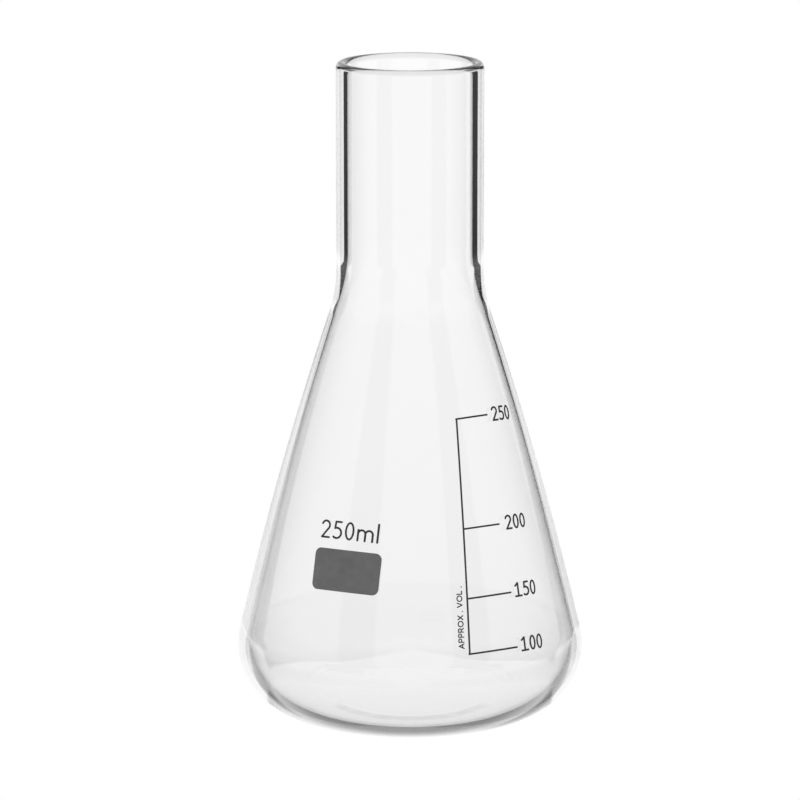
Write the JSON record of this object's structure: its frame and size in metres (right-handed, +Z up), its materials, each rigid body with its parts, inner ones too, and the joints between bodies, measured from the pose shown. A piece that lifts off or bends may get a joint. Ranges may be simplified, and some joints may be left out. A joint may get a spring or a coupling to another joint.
{
  "type": "erlenmeyer flask",
  "caption": "Conical laboratory flask in clear borosilicate glass with a straight neck, rounded lip, pushed-up base and grey fired-on volume scale, capacity label and marking spot.",
  "frame": {"origin": "centre of the base, on the plane of the flat ring that the flask stands on", "axes": "+Z up along the axis of the glass; -Y is the front, where the capacity label is on the left (-X) and the volume scale on the right (+X)"},
  "size_m": [0.083, 0.083, 0.157],
  "materials": {
    "borosilicate_glass": "clear, fire-polished",
    "grey_enamel": "fired-on dark grey enamel, satin",
    "spot_enamel": "fired-on grey enamel, matt enough to take pencil"
  },
  "bodies": {
    "root": {"flask_body": "borosilicate_glass", "marking_spot": "spot_enamel", "scale_line": "grey_enamel", "graduation_100": "grey_enamel", "graduation_150": "grey_enamel", "graduation_200": "grey_enamel", "graduation_250": "grey_enamel", "numeral_100": "grey_enamel", "numeral_150": "grey_enamel", "numeral_200": "grey_enamel", "numeral_250": "grey_enamel", "approx_vol_legend": "grey_enamel", "capacity_label": "grey_enamel"}
  },
  "joints": []
}
